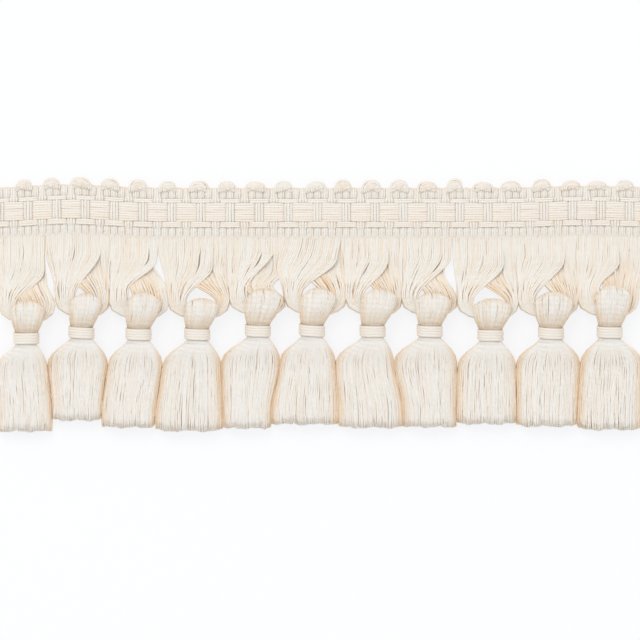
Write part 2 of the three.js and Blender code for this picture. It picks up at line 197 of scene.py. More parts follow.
class Yarns:
    """The yarns of one piece, kept as arrays until they become one mesh."""

    def __init__(self):
        self.sets = []

    def add(self, paths, radii, sides, across, flat, tone):
        """Yarns along paths (yarn, step, xyz), with a tone for all, each, or each step.

        across is square to most of their runs, and they are flat times as thick along it.
        """
        paths = np.asarray(paths, float)
        count, steps = paths.shape[:2]
        radii = np.broadcast_to(np.asarray(radii, float), (count, steps))
        tone = np.asarray(tone, float)
        tone = tone if tone.ndim == 2 else tone.reshape(-1, 1)
        tone = np.broadcast_to(tone, (count, steps))
        run = np.gradient(paths, axis=1)
        run /= np.linalg.norm(run, axis=2, keepdims=True)
        side = np.cross(run, np.array(across, float))
        side /= np.linalg.norm(side, axis=2, keepdims=True)
        up = np.cross(side, run)
        turn = 2 * np.pi * np.arange(sides) / sides
        ring = (
            np.cos(turn)[:, None] * side[:, :, None, :]
            + flat * np.sin(turn)[:, None] * up[:, :, None, :]
        )
        verts = paths[:, :, None, :] + radii[:, :, None, None] * ring
        hops = np.linalg.norm(np.diff(paths, axis=1), axis=2)
        along = np.concatenate([np.zeros((count, 1)), np.cumsum(hops, axis=1)], axis=1)
        self.sets.append((verts, along, tone, radii))

    def bake_grid(self):
        """Columns and rows of cells in the bake's UV square, one cell for each yarn."""
        total = sum(verts.shape[0] for verts, _, _, _ in self.sets)
        length = np.mean([along[:, -1].mean() for _, along, _, _ in self.sets])
        girth = 2 * np.pi * np.mean([radii.mean() for _, _, _, radii in self.sets])
        columns = max(1, round(math.sqrt(total * length / girth)))
        return columns, math.ceil(total / columns)

    def corners(self):
        """Vertices, each face corner's vertex and both its UVs, the faces' sizes, tones."""
        columns, rows = self.bake_grid()
        verts, index, bake, yarn, sizes, tones = [], [], [], [], [], []

        def add_faces(faces, cell_u, cell_v, u, v):
            index.append(faces.reshape(-1))
            bake.append(np.stack([cell_u / columns, cell_v / rows], axis=-1).reshape(-1, 2))
            yarn.append(np.stack([u, v], axis=-1).reshape(-1, 2))
            sizes.append(np.full(faces.size // faces.shape[-1], faces.shape[-1]))

        first_vertex = first_yarn = 0
        for points, along, tone, _ in self.sets:
            count, steps, sides, _ = points.shape
            base = first_vertex + np.arange(count * steps * sides).reshape(count, steps, sides)
            cell = first_yarn + np.arange(count)
            column, row = cell % columns, cell // columns
            around = np.arange(sides) / sides

            ahead = np.roll(base, -1, axis=2)
            walls = np.stack([base[:, :-1], base[:, 1:], ahead[:, 1:], ahead[:, :-1]], axis=-1)
            u = np.stack([around, around, around + 1 / sides, around + 1 / sides], axis=-1)
            u = np.broadcast_to(u, walls.shape)
            v = np.stack([along[:, :-1], along[:, 1:], along[:, 1:], along[:, :-1]], axis=-1)
            v = np.broadcast_to(v[:, :, None, :], walls.shape)
            whole = along[:, -1].reshape(-1, 1, 1, 1)
            cell_u = column.reshape(-1, 1, 1, 1) + CELL_GAP + WALL_WIDTH * u
            cell_v = row.reshape(-1, 1, 1, 1) + CELL_GAP + WALL_HEIGHT * v / whole
            add_faces(walls, cell_u, cell_v, u, v)

            turn = 2 * np.pi * around
            for cap, cap_place in zip((base[:, 0], base[:, -1, ::-1]), CAP_PLACES):
                cell_u = column[:, None] + cap_place + CAP_HALF_WIDTH * np.cos(turn)
                cell_v = row[:, None] + CAP_LEVEL + CAP_HALF_HEIGHT * np.sin(turn)
                add_faces(cap, cell_u, cell_v, np.zeros(cap.shape), np.zeros(cap.shape))

            verts.append(points.reshape(-1, 3))
            tones.append(np.repeat(tone.reshape(-1), sides))
            first_vertex += count * steps * sides
            first_yarn += count
        return [np.concatenate(part) for part in (verts, index, bake, yarn, sizes, tones)]

    def piece(self, name, material, slot, node):
        """One mesh of all these yarns, which stands for the CAD node."""
        verts, index, bake, yarn, sizes, tones = self.corners()
        mesh = bpy.data.meshes.new(name)
        mesh.vertices.add(len(verts))
        mesh.vertices.foreach_set("co", (verts * MM).astype(np.float32).reshape(-1))
        mesh.loops.add(len(index))
        mesh.loops.foreach_set("vertex_index", index.astype(np.int32))
        mesh.polygons.add(len(sizes))
        starts = np.concatenate([[0], np.cumsum(sizes)[:-1]])
        mesh.polygons.foreach_set("loop_start", starts.astype(np.int32))
        for layer, values in (("OFBake", bake), ("Yarn", yarn)):
            uv = mesh.uv_layers.new(name=layer)
            uv.data.foreach_set("uv", values.astype(np.float32).reshape(-1))
        tone = mesh.attributes.new("tone", "FLOAT", "POINT")
        tone.data.foreach_set("value", tones.astype(np.float32))
        mesh.update(calc_edges=True)
        mesh.validate()
        mesh.shade_smooth()
        return add_piece(name, mesh, material, slot, node)


# Materials

# Each yarn's colour runs between its light and dark colour; the dark end gives both the yarns'
# own darker tones and painted shade, on flanks, in deep rows and where yarns are covered.
LOOP_LIGHT = (0.882, 0.857, 0.805)
TASSEL_LIGHT = (0.922, 0.903, 0.867)
DARK = (0.88, 0.71, 0.52)
WOVEN_LIGHT = (0.845, 0.83, 0.787)
WOVEN_DARK = (0.83, 0.69, 0.545)
# The ground cloth's warm tan is painted shade, where it shows between the ribs.
GROUND_SHADE_COLOUR = (0.87, 0.72, 0.55)
GROUND_WEAVE = 90.0              # scale of its waves, for each metre
GROUND_WEAVE_DEPTH = 0.2
FIBRES_AROUND = 7.0              # noise round a yarn, along each millimetre, and by its tone
FIBRES_ALONG = 0.9
FIBRES_BY_TONE = 37.0
FIBRE_CONTRAST = 0.35


def new_material(name, inputs):
    """A material, its node tree and its shader, with these inputs set on it."""
    material = bpy.data.materials.new(name)
    material.use_nodes = True
    shader = material.node_tree.nodes["Principled BSDF"]
    for socket, value in inputs.items():
        shader.inputs[socket].default_value = value
    return material, material.node_tree, shader


def maths(tree, operation, a, b=None):
    """A maths node's output, for inputs that are numbers or outputs themselves."""
    node = tree.nodes.new("ShaderNodeMath")
    node.operation = operation
    for socket, value in zip(node.inputs, (a, b)):
        if value is None:
            continue
        if isinstance(value, (int, float)):
            socket.default_value = value
        else:
            tree.links.new(value, socket)
    return node.outputs[0]


def add_bump(tree, shader, height, distance):
    bump = tree.nodes.new("ShaderNodeBump")
    bump.inputs["Strength"].default_value = 1.0
    bump.inputs["Distance"].default_value = distance
    tree.links.new(height, bump.inputs["Height"])
    tree.links.new(bump.outputs[0], shader.inputs["Normal"])


def yarn_plies(tree, around, along, plies, ply_pitch):
    """The height of plies that wind round the yarn: 0 between two of them, 1 on top."""
    wound = maths(
        tree, "ADD",
        maths(tree, "MULTIPLY", around, float(plies)),
        maths(tree, "MULTIPLY", along, 1 / ply_pitch),
    )
    wave = maths(tree, "SINE", maths(tree, "MULTIPLY", wound, math.pi))
    return maths(tree, "ABSOLUTE", wave)


def yarn_fibres(tree, around, along, tone):
    """Noise drawn out along the yarn, and another for each tone."""
    stretched = tree.nodes.new("ShaderNodeCombineXYZ")
    tree.links.new(maths(tree, "MULTIPLY", around, FIBRES_AROUND), stretched.inputs[0])
    tree.links.new(maths(tree, "MULTIPLY", along, FIBRES_ALONG), stretched.inputs[1])
    tree.links.new(maths(tree, "MULTIPLY", tone, FIBRES_BY_TONE), stretched.inputs[2])
    noise = tree.nodes.new("ShaderNodeTexNoise")
    noise.inputs["Scale"].default_value = 1.0
    noise.inputs["Detail"].default_value = 2.0
    tree.links.new(stretched.outputs[0], noise.inputs["Vector"])
    return noise.outputs["Fac"]


def yarn_material(name, light, dark, flank_shade, plies, ply_pitch, depth):
    """Cream yarn: from dark to light by its tone, darker and warmer on its flanks as painted
    shade, with plies and fibres.
    """
    material, tree, shader = new_material(name, {
        "Roughness": 0.52,
        "Specular IOR Level": 0.35,
        "Sheen Weight": 0.15,
        "Sheen Roughness": 0.5,
    })
    uv = tree.nodes.new("ShaderNodeUVMap")
    uv.uv_map = "Yarn"
    place = tree.nodes.new("ShaderNodeSeparateXYZ")
    tree.links.new(uv.outputs[0], place.inputs[0])
    around, along = place.outputs[0], place.outputs[1]
    attribute = tree.nodes.new("ShaderNodeAttribute")
    attribute.attribute_name = "tone"
    tone = attribute.outputs["Fac"]

    ply = yarn_plies(tree, around, along, plies, ply_pitch)
    fibres = yarn_fibres(tree, around, along, tone)
    height = maths(
        tree, "ADD", maths(tree, "MULTIPLY", ply, depth), maths(tree, "MULTIPLY", fibres, depth)
    )
    add_bump(tree, shader, height, MM)

    # Painted shade: the more the normal turns from straight up to the side, the further the
    # colour goes toward the dark one, on the yarn's flanks.
    geometry = tree.nodes.new("ShaderNodeNewGeometry")
    normal = tree.nodes.new("ShaderNodeSeparateXYZ")
    tree.links.new(geometry.outputs["Normal"], normal.inputs[0])
    flank = maths(tree, "SUBTRACT", 1.0, maths(tree, "ABSOLUTE", normal.outputs[2]))
    speckle = maths(
        tree, "MULTIPLY", maths(tree, "SUBTRACT", fibres, 0.5), FIBRE_CONTRAST
    )
    share = maths(tree, "ADD", tone, speckle)
    share = maths(tree, "SUBTRACT", share, maths(tree, "MULTIPLY", flank, flank_shade))
    blend = tree.nodes.new("ShaderNodeMix")
    blend.data_type = "RGBA"
    blend.clamp_factor = True
    blend.inputs[6].default_value = (*dark, 1)
    blend.inputs[7].default_value = (*light, 1)
    tree.links.new(share, blend.inputs[0])
    tree.links.new(blend.outputs[2], shader.inputs["Base Color"])
    return material


def ground_material():
    """The plain cloth inside the heading, with fine ribs along it, its warm tan painted shade
    where it shows between the ribs.
    """
    material, tree, shader = new_material("ground_cloth", {
        "Base Color": (*GROUND_SHADE_COLOUR, 1),
        "Roughness": 0.8,
        "Specular IOR Level": 0.3,
    })
    place = tree.nodes.new("ShaderNodeTexCoord")
    wave = tree.nodes.new("ShaderNodeTexWave")
    wave.bands_direction = "X"
    wave.inputs["Scale"].default_value = GROUND_WEAVE
    tree.links.new(place.outputs["Object"], wave.inputs["Vector"])
    add_bump(tree, shader, wave.outputs["Fac"], GROUND_WEAVE_DEPTH * MM)
    return material


HEADING_YARN = yarn_material(
    "heading_yarn", WOVEN_LIGHT, WOVEN_DARK, flank_shade=0.45, plies=2, ply_pitch=1.1, depth=0.04
)
LOOP_YARN = yarn_material(
    "loop_yarn", LOOP_LIGHT, DARK, flank_shade=0.6, plies=2, ply_pitch=2.2, depth=0.04
)
TASSEL_YARN = yarn_material(
    "tassel_yarn", TASSEL_LIGHT, DARK, flank_shade=0.55, plies=2, ply_pitch=1.5, depth=0.06
)
TIE_THREAD = yarn_material(
    "tie_thread", WOVEN_LIGHT, WOVEN_DARK, flank_shade=0.5, plies=5, ply_pitch=3.5, depth=0.06
)
GROUND_CLOTH = ground_material()


# The heading

REPEAT = 8.58                    # one scallop, four ribs, one float of each warp
FIRST_REPEAT = -88.8
RIBS_A_REPEAT = 4
RIB_PITCH = REPEAT / RIBS_A_REPEAT
WEAVE_SHIFT = 1.3                # of the weave to the right of an even repeat, at its ends
WEAVE_BULGE = (12, 46)           # middle and half width of where it is up to 1 mm more
WEAVE_END = LENGTH / 2 - 0.4     # where the warps are cut
GROUND_THICK = 1.36
GROUND_COLUMNS = 197             # points of its grid
GROUND_ROWS = 7

MOST_RIBS = 100                  # more than fit
USUAL_SHIFT = 1.8                # of the weave, near enough to find its shift at a rib
RIB_ROOM = 0.9                   # left free at both ends of the warps
RIB_YARNS = 3                    # weft yarns side by side in one rib
RIB_YARN = 0.46                  # radius
RIB_SPREAD = 0.84                # of its yarns, against an even spacing
RIB_SPREAD_OVER = 0.3            # and how much more where they lie over a warp
RIB_HEIGHT = 1.34                # of its yarns' middles
RIB_CROWN = 0.2                  # rise of its middle yarn over the others
RIB_RISE = 0.42                  # where it passes over a warp
RIB_DIP = 0.5                    # where it passes under one
RIPPLE = 0.1                     # of the ribs' bare ends, outside these heights
RIPPLE_PITCH = 1.4
BARE_ABOVE = 32
BARE_BELOW = 23.2
BEND_OUTSIDE = 0.35              # a rib bends from this far outside a warp's edge
BEND_INSIDE = 0.15               # to this far inside it
TOP_SINK = 0.3                   # of its ends, each between two heights
TOP_SINK_LEVELS = (34.3, 34.9)
BOTTOM_SINK = 0.55
BOTTOM_SINK_LEVELS = (20.8, 19.9)
RIB_LEVELS = (
    34.75, 34.3, 33.6, 32.7, 32.0, 31.5, 31.2, 30.9, 30.5, 30.1, 29.3, 28.3, 27.2, 26.2,
    25.4, 25.0, 24.6, 24.1, 23.5, 23.0, 22.4, 21.7, 20.9, 20.3, 19.9,
)

WARPS = (
    # bottom, top, ends, radius, phase within the repeat, height over the ribs
    (30.55, 31.8, 2, 0.34, 0.5, 2.0),
    (24.9, 30.6, 8, 0.42, 0.0, 2.1),
    (23.25, 24.95, 3, 0.33, 0.5, 2.0),
)
WARP_STEPS = 16                  # points in one repeat
WARP_CLIMB = (0.42, 0.68)        # of a warp, in rib pitches from the rib it passes under
WARP_FLAT = 0.6
WARP_SINK = 0.62                 # of a float's middle below its height, in radii
WARP_DIP = 0.62                  # height of a warp under a rib
WARP_ARCH = 0.16
WARP_DRAWN = 0.07                # how much closer its ends lie under a rib

CATCHES = (34.0, 33.3, 32.6, 22.5, 21.6, 20.8)
CATCH_THREAD = 0.1               # radius
CATCH_HEIGHT = 1.42
CATCH_WAVE = 0.28
EDGES = (
    # level, height
    (34.75, 1.15),
    (34.3, 0.9),
)
EDGE_YARN = 0.36                 # radius
EDGE_WAVE = 0.12

SCALLOP_SHIFTS = (
    0, -0.2, 0, 0.1, 0, 0.15, 0.9, 0.85, 0.8, 0.65, 1.8, 1.3, 1.15, 0.95, 0.95, 0.3,
    0.4, 0, 0.8, 0.95, 0.3, 0,
)
SCALLOP_WIDTHS = (
    5.1, 5.0, 6.2, 5.5, 5.4, 5.0, 5.8, 5.4, 6.0, 5.2, 5.3, 5.0, 5.4, 5.4, 5.8, 5.0,
    5.6, 5.9, 5.4, 5.6, 5.7, 5.2,
)
SCALLOP_HEIGHTS = (
    2.3, 2.5, 2.6, 2.6, 2.8, 2.5, 2.4, 2.4, 2.3, 2.5, 2.6, 2.9, 2.9, 2.8, 2.4, 3.0,
    2.2, 2.3, 2.7, 2.0, 1.9, 2.4,
)
SCALLOP_ARCS = 5                 # nested one in another
SCALLOP_STEPS = 15
SCALLOP_YARN = (0.46, 0.56)      # radius of its first and its last yarn
SCALLOP_SKEW = (0.3, 0.9)        # least and most drift of the inner arcs to one side
SCALLOP_LUMP = 0.1               # most that an arc is out of round, as its share
SCALLOP_OVERTURN = 0.06          # of an arc past both ends of its half turn, as its share
SCALLOP_FOOT = 0.8               # depth of the arcs' ends below the heading's top
SCALLOP_BASE = 1.3               # height that the arcs rise from, more the further in
SCALLOP_SWELL = 0.8              # and the innermost arc's rise
SCALLOP_DROOP = 0.7              # of the inner arcs' ends, toward the ribs
PAD_LEVELS = (-0.8, -0.35, 0.15)  # yarns across a scallop's foot, from the heading's top
PAD_HALF_LENGTH = 0.42           # in widths of the scallop


def weave_shift(x):
    """How far the weave sits to the right of an even repeat, at x."""
    return WEAVE_SHIFT + hump(x, *WEAVE_BULGE)


def repeat_place(x):
    """Where x falls in the weave's repeat: 0 at a rib that the middle warp passes under."""
    return (x - weave_shift(x) - FIRST_REPEAT) / REPEAT


def warp_over(place, phase):
    """1 where a warp of that phase floats over the ribs, 0 where it dips under one."""
    away = np.abs((place - phase + 0.5) % 1 - 0.5) * RIBS_A_REPEAT
    return ease(*WARP_CLIMB, away)


def add_ribs(yarns, rng):
    """Weft yarns that run across the heading, three to a rib, over and under the warps."""
    first = math.ceil((-WEAVE_END - FIRST_REPEAT - WEAVE_SHIFT) / RIB_PITCH)
    middles = FIRST_REPEAT + RIB_PITCH * np.arange(first, first + MOST_RIBS)
    middles = middles + weave_shift(middles + USUAL_SHIFT)
    middles = middles[np.abs(middles) < WEAVE_END - RIB_ROOM]
    offsets = (np.arange(RIB_YARNS) - (RIB_YARNS - 1) / 2) * RIB_PITCH / RIB_YARNS
    offset = np.tile(offsets, len(middles))[:, None]
    x = np.repeat(middles, RIB_YARNS)[:, None]
    y = np.broadcast_to(RIB_LEVELS, (len(x), len(RIB_LEVELS)))
    place = repeat_place(x)
    z = np.full(y.shape, RIB_HEIGHT)
    z += RIPPLE * np.cos(2 * np.pi * (y / RIPPLE_PITCH)) * ((y > BARE_ABOVE) | (y < BARE_BELOW))
    spread = np.full(y.shape, RIB_SPREAD)
    for bottom, top, _, _, phase, _ in WARPS:
        inside = (
            ease(bottom - BEND_OUTSIDE, bottom + BEND_INSIDE, y)
            * ease(top + BEND_OUTSIDE, top - BEND_INSIDE, y)
        )
        rib_over = 1 - warp_over(place, phase)
        z += inside * (RIB_RISE * rib_over - RIB_DIP * (1 - rib_over))
        spread += RIB_SPREAD_OVER * inside * rib_over
    z -= TOP_SINK * ease(*TOP_SINK_LEVELS, y) + BOTTOM_SINK * ease(*BOTTOM_SINK_LEVELS, y)
    z = z + RIB_CROWN * (offset == 0)
    bend = wander(rng, len(x), len(RIB_LEVELS), 0.025, 3, 1.5)
    tone = vary(rng, 0.87, 0.15, len(x))
    yarns.add(sway(join(x + offset * spread + bend, y, z)), RIB_YARN, 5, ALONG_X, 1.0, tone)


def add_warps(yarns, rng, x):
    """Ends side by side that float over three ribs and dip under the fourth."""
    place = repeat_place(x)
    for bottom, top, ends, radius, phase, height in WARPS:
        over = warp_over(place, phase)
        arch = WARP_ARCH * np.sin(np.pi * ((place - phase) % 1)) ** 2
        z = mix(WARP_DIP, height - WARP_SINK * radius, over) + arch * over
        centre = (bottom + top) / 2
        rows = centre + ((top - bottom) / 2 - radius) * np.linspace(-1, 1, ends)
        drawn = 1 - WARP_DRAWN * (1 - over)
        y = centre + (rows[:, None] - centre) * drawn + wander(rng, ends, len(x), 0.03, 4, 9)
        tone = vary(rng, 0.75, 0.25, ends)
        yarns.add(sway(join(x, y, z)), radius, 6, ALONG_Z, WARP_FLAT, tone)


def add_catch_threads(yarns, x):
    """Fine threads that cross the two rows of bare ribs, over one and under the next."""
    rib_place = repeat_place(x) * RIBS_A_REPEAT
    for order, level in enumerate(CATCHES):
        side = 1 if order % 2 else -1
        y = level + 0.05 * np.sin(rib_place * 1.7 + order)
        z = CATCH_HEIGHT + side * CATCH_WAVE * np.cos(np.pi * rib_place)
        yarns.add(sway(join(x, y, z)[None]), CATCH_THREAD, 3, ALONG_Z, 1.0, 0.6)


def add_edge_yarns(yarns, rng, x):
    """The yarns along the top edge, which show between the scallops."""
    turn = 2 * np.pi * repeat_place(x)
    for level, height in EDGES:
        y = level + EDGE_WAVE * np.sin(turn) + wander(rng, 1, len(x), 0.04, 5, 12)[0]
        z = height + EDGE_WAVE * np.cos(turn * 2)
        yarns.add(sway(join(x, y, z)[None]), EDGE_YARN, 5, ALONG_Z, 1.0, 0.5)


def scallop_paths(rng, middle, width, height):
    """One scallop: arcs nested one in another, highest inside, and pads across its foot."""
    turn = np.linspace(-SCALLOP_OVERTURN, 1 + SCALLOP_OVERTURN, SCALLOP_STEPS) * np.pi
    skew = rng.choice([-1, 1]) * rng.uniform(*SCALLOP_SKEW)
    paths = []
    for nest in range(SCALLOP_ARCS):
        size = 1 - nest / SCALLOP_ARCS
        half = (0.56 * width - 0.45) * size
        top = (height + 0.05) * size ** 0.9
        lump = 1 + vary(rng, 0, SCALLOP_LUMP) * np.sin(2 * turn + rng.uniform(0, 6))
        x = middle + skew * (1 - size) - half * lump * boxy(np.cos(turn), 0.85)
        y = HEADING_TOP - SCALLOP_FOOT + top * lump * boxy(np.sin(turn), 0.8)
        inward = np.sin(np.pi / 2 * min(1, 1.4 * (1 - size) + 0.25))
        droop = SCALLOP_DROOP * (1 - size) * np.abs(np.cos(turn)) ** 3
        z = SCALLOP_BASE + SCALLOP_SWELL * inward
        z = z + 0.3 * np.sin(turn + skew) - droop
        paths.append(join(x, y, z))
    for level in PAD_LEVELS:
        x = middle + np.linspace(-PAD_HALF_LENGTH, PAD_HALF_LENGTH, SCALLOP_STEPS) * width
        paths.append(join(x, HEADING_TOP + level, 1.7 + 0.7 * (level + 0.35)))
    return np.array(paths)


def add_scallops(yarns, rng):
    """Fat bumps of weft yarns that turn over the heading's edge."""
    plans = zip(SCALLOP_SHIFTS, SCALLOP_WIDTHS, SCALLOP_HEIGHTS)
    for k, (shift, width, height) in enumerate(plans):
        paths = scallop_paths(rng, FIRST_REPEAT + k * REPEAT + shift, width, height)
        tone = vary(rng, 0.7, 0.22, len(paths))
        radii = np.linspace(*SCALLOP_YARN, len(paths))[:, None]
        yarns.add(sway(paths), radii, 5, ALONG_Z, 1.0, tone)


def heading_piece():
    rng = np.random.default_rng(HEADING_SEED)
    yarns = Yarns()
    x = np.arange(-WEAVE_END, WEAVE_END + 0.01, REPEAT / WARP_STEPS)
    add_ribs(yarns, rng)
    add_warps(yarns, rng, x)
    add_catch_threads(yarns, x)
    add_edge_yarns(yarns, rng, x)
    add_scallops(yarns, rng)
    return yarns.piece("heading_yarns", HEADING_YARN, "heading", "heading")


def ground_piece():
    """The thin cloth under the ribs, as one closed sheet."""
    across = np.linspace(-LENGTH / 2, LENGTH / 2, GROUND_COLUMNS)
    levels = np.linspace(HEADING_BOTTOM, HEADING_TOP, GROUND_ROWS)
    low = sway(join(across[:, None], levels[None, :], 0.0))
    high = low.copy()
    high[..., 2] = GROUND_THICK
    count = GROUND_COLUMNS * GROUND_ROWS
    index = np.arange(count).reshape(GROUND_COLUMNS, GROUND_ROWS)
    top = index + count
    rim = np.concatenate([index[:, 0], index[-1, 1:], index[-2::-1, -1], index[0, -2:0:-1]])
    ahead = np.roll(rim, -1)
    face_sets = (
        np.stack([top[:-1, :-1], top[1:, :-1], top[1:, 1:], top[:-1, 1:]], axis=-1),
        np.stack([index[:-1, :-1], index[:-1, 1:], index[1:, 1:], index[1:, :-1]], axis=-1),
        np.stack([rim, ahead, ahead + count, rim + count], axis=-1),
    )
    faces = np.concatenate([face_set.reshape(-1, 4) for face_set in face_sets])
    verts = np.concatenate([low.reshape(-1, 3), high.reshape(-1, 3)]) * MM
    mesh = bpy.data.meshes.new("heading_ground")
    mesh.from_pydata(verts.tolist(), [], faces.tolist())
    return add_piece("heading_ground", mesh, GROUND_CLOTH, "heading")


# The hanging loops

LOOPS_A_UNIT = 53
HANGING_YARN = 0.32              # radius
HANGING_FLAT = 1.1
LOOP_TONE = 0.98
LEG_LEVELS = 17
TURN_STEPS = 8
DEEPEST_TURN = 5.4
SHALLOWEST_TURN = 1.9

# Where the hanging yarns of neighbouring units part at the heading.
ROOTS = (-97.6, -82.4, -63.0, -48.6, -27.9, -10.8, 6.9, 23.7, 39.6, 59.1, 77.1, 97.6)
ROOT_GAP = 0.15                  # half the parting
ROOT_HEIGHTS = (1.2, 1.0)        # of every other yarn
HIDDEN_ROOT = 0.55               # height of a yarn that starts behind the front bundle
ROOT_INSIDE = 0.7                # length of the roots inside the heading
BACK_FROM = 0.38                 # share of the unit where the back bundle starts

# The drop in which a bundle's outermost yarns sweep across, and how it rises to the head.
FRONT_SWEEP = (17.0, 3.5)
BACK_SWEEP = (20, 7.9)           # over the tie's top, as are the next three
BACK_SWEEP_INNER = 15.6
FRONT_SETTLE = 17
BACK_SETTLE = 18.5
FRONT_LIFT = 0.9                 # of the front bundle off the back one
LIFT_DROP = (18.5, 11.5)
LAYERS = (4, 6)                  # fewest and most yarns on one another at the head
YARN_ROOM = 0.5                  # width of a layer that each yarn takes there
BUNDLE_THICK = 1.4               # at most, and less where its section is spread wide
BUNDLE_SECTION = 8               # in square millimetres

# Bundles drawn aside on their way down.
BENDS = (
    # unit, whether its left bundle, shift, middle of the bend, half height
    (0, False, -0.8, 5.5, 3.5),
    (2, False, -1.2, 11.2, 2.2),
    (4, False, -4.2, 5.6, 3.0),
    (5, True, -2.2, 11.5, 5.5),
    (7, False, -3.2, 9.0, 5.0),
)
# Partings between the yarns of a left bundle.
PARTINGS = (
    # unit, place in the bundle, middle of the parting, half height, width
    (4, 0.16, 12.6, 3.0, 0.3),
    (6, 0.2, 15.6, 3.6, 0.3),
    (6, 0.61, 9.0, 4.0, 0.4),
    (7, 0.46, 8.0, 3.2, 0.4),
    (9, 0.14, 15.0, 3.8, 0.3),
    (1, 0.5, 9.0, 3.0, 0.25),
    (3, 0.35, 10.0, 3.0, 0.25),
    (8, 0.3, 11.0, 3.4, 0.25),
    (10, 0.55, 9.6, 3.0, 0.25),
    (5, 0.55, 9.0, 3.4, 0.3),
    (0, 0.45, 8.0, 3.4, 0.3),
)
PARTING_REACH = 0.1              # share of the bundle that it pushes aside
CLINGING = 6                     # yarns that wander together
LOWEST_YARN = 0.3


def unit_plan(unit):
    """The middle of a unit's head, and the height at which its loops turn."""
    middle = unit["tie_x"] + (unit["head_right"] - unit["head_left"]) / 2
    return middle, unit["tie_top"] + TURN_RISE


def leg_paths(number, unit, is_left, rng):
    """One bundle's legs, outermost first, from the heading to the loops' plane in the head."""
    _, turn_y = unit_plan(unit)
    tie_top = unit["tie_top"]
    count = LOOPS_A_UNIT
    order = np.arange(count)
    place = (order + 0.5) / count
    left_root, right_root = ROOTS[number] + ROOT_GAP, ROOTS[number + 1] - ROOT_GAP
    root_z = np.where(order % 2, ROOT_HEIGHTS[1], ROOT_HEIGHTS[0])
    if is_left:
        outer, inner = unit["left_edge"], unit["front_meet"]
        root_x = mix(left_root, unit["front_root"], place)
        start = mix(FRONT_SWEEP[0], unit["sweep_top"], place)[:, None]
        end = mix(FRONT_SWEEP[1], unit["sweep_end"], place)[:, None]
        lift, settle_from = FRONT_LIFT, tie_top + FRONT_SETTLE
    else:
        outer, inner = unit["right_edge"], unit["back_meet"]
        root_x = mix(right_root, left_root, place * (1 - BACK_FROM))
        root_z = np.where(root_x < unit["front_root"], HIDDEN_ROOT, root_z)
        start = mix(tie_top + BACK_SWEEP[0], tie_top + BACK_SWEEP_INNER, place)[:, None]
        end = tie_top + BACK_SWEEP[1]
        lift, settle_from = 0.0, tie_top + BACK_SETTLE
    span = abs(inner - outer) - 2 * HANGING_YARN
    layers = int(np.clip(round(count * YARN_ROOM / span), *LAYERS))
    layer = order % layers
    waist_x = outer + np.sign(inner - outer) * (HANGING_YARN + span * place)
    level = (layer - (layers - 1) / 2) * (min(BUNDLE_THICK, BUNDLE_SECTION / span) / layers)

    down = np.linspace(0, 1, LEG_LEVELS)
    y = mix(HEADING_BOTTOM + ROOT_INSIDE, turn_y, down)[None, :] * np.ones((count, 1))
    x = mix(root_x[:, None], waist_x[:, None], ease(start, end, y))
    for parted, share, middle, half_height, width in PARTINGS:
        if is_left and parted == number:
            away = place[:, None] - share
            opened = width * np.sign(away) * np.exp(-np.abs(away) / PARTING_REACH)
            x = x + opened * hump(y, middle, half_height)
    for bent, on_left, shift, middle, half_height in BENDS:
        if (bent, on_left) == (number, is_left):
            x = x + shift * (1 - 0.4 * place[:, None]) * hump(y, middle, half_height)
    z = root_z[:, None] + lift * ease(*LIFT_DROP, y)
    z = mix(z, HEAD_MIDDLE + level[:, None], ease(settle_from, turn_y + 0.8, y))

    # Small groups of yarns cling together, and each yarn wanders a little on its way.
    held = ease(HEADING_BOTTOM - 0.5, 14, y) * ease(turn_y - 1, turn_y + 4, y)
    groups = np.floor(order / CLINGING + rng.uniform(0, 1)).astype(int)
    group_drift = wander(rng, groups.max() + 1, LEG_LEVELS, 0.2, 2, 1.0)[groups]
    own_drift = wander(rng, count, LEG_LEVELS, 0.05, 3, 1.2)
    x = x + (group_drift + own_drift) * held
    z = z + np.abs(wander(rng, count, LEG_LEVELS, 0.08, 2, 1)) * held
    x = x + vary(rng, 0, 0.1, (count, 1)) * ease(turn_y, HEADING_BOTTOM, y)
    return join(x, y, np.maximum(z, LOWEST_YARN)), waist_x, level


def unit_loops(number, unit, rng):
    """A unit's loops, outermost first: down the left bundle, round the turn, up the right."""
    middle, turn_y = unit_plan(unit)
    left_paths, left_x, left_level = leg_paths(number, unit, True, rng)
    right_paths, right_x, right_level = leg_paths(number, unit, False, rng)
    angle = np.linspace(0, np.pi, TURN_STEPS + 2)[1:-1]
    on_left = angle < np.pi / 2
    paths = []
    for k in range(LOOPS_A_UNIT):
        depth = mix(DEEPEST_TURN, SHALLOWEST_TURN, k / (LOOPS_A_UNIT - 1))
        reach = np.where(on_left, abs(middle - left_x[k]), abs(right_x[k] - middle))
        turn = join(
            middle - reach * boxy(np.cos(angle), 1.5),
            turn_y - depth * np.sin(angle) ** 0.8,
            HEAD_MIDDLE + mix(left_level[k], right_level[k], angle / np.pi),
        )
        paths.append(np.concatenate([left_paths[k], turn, right_paths[k][::-1]]))
    return np.array(paths)


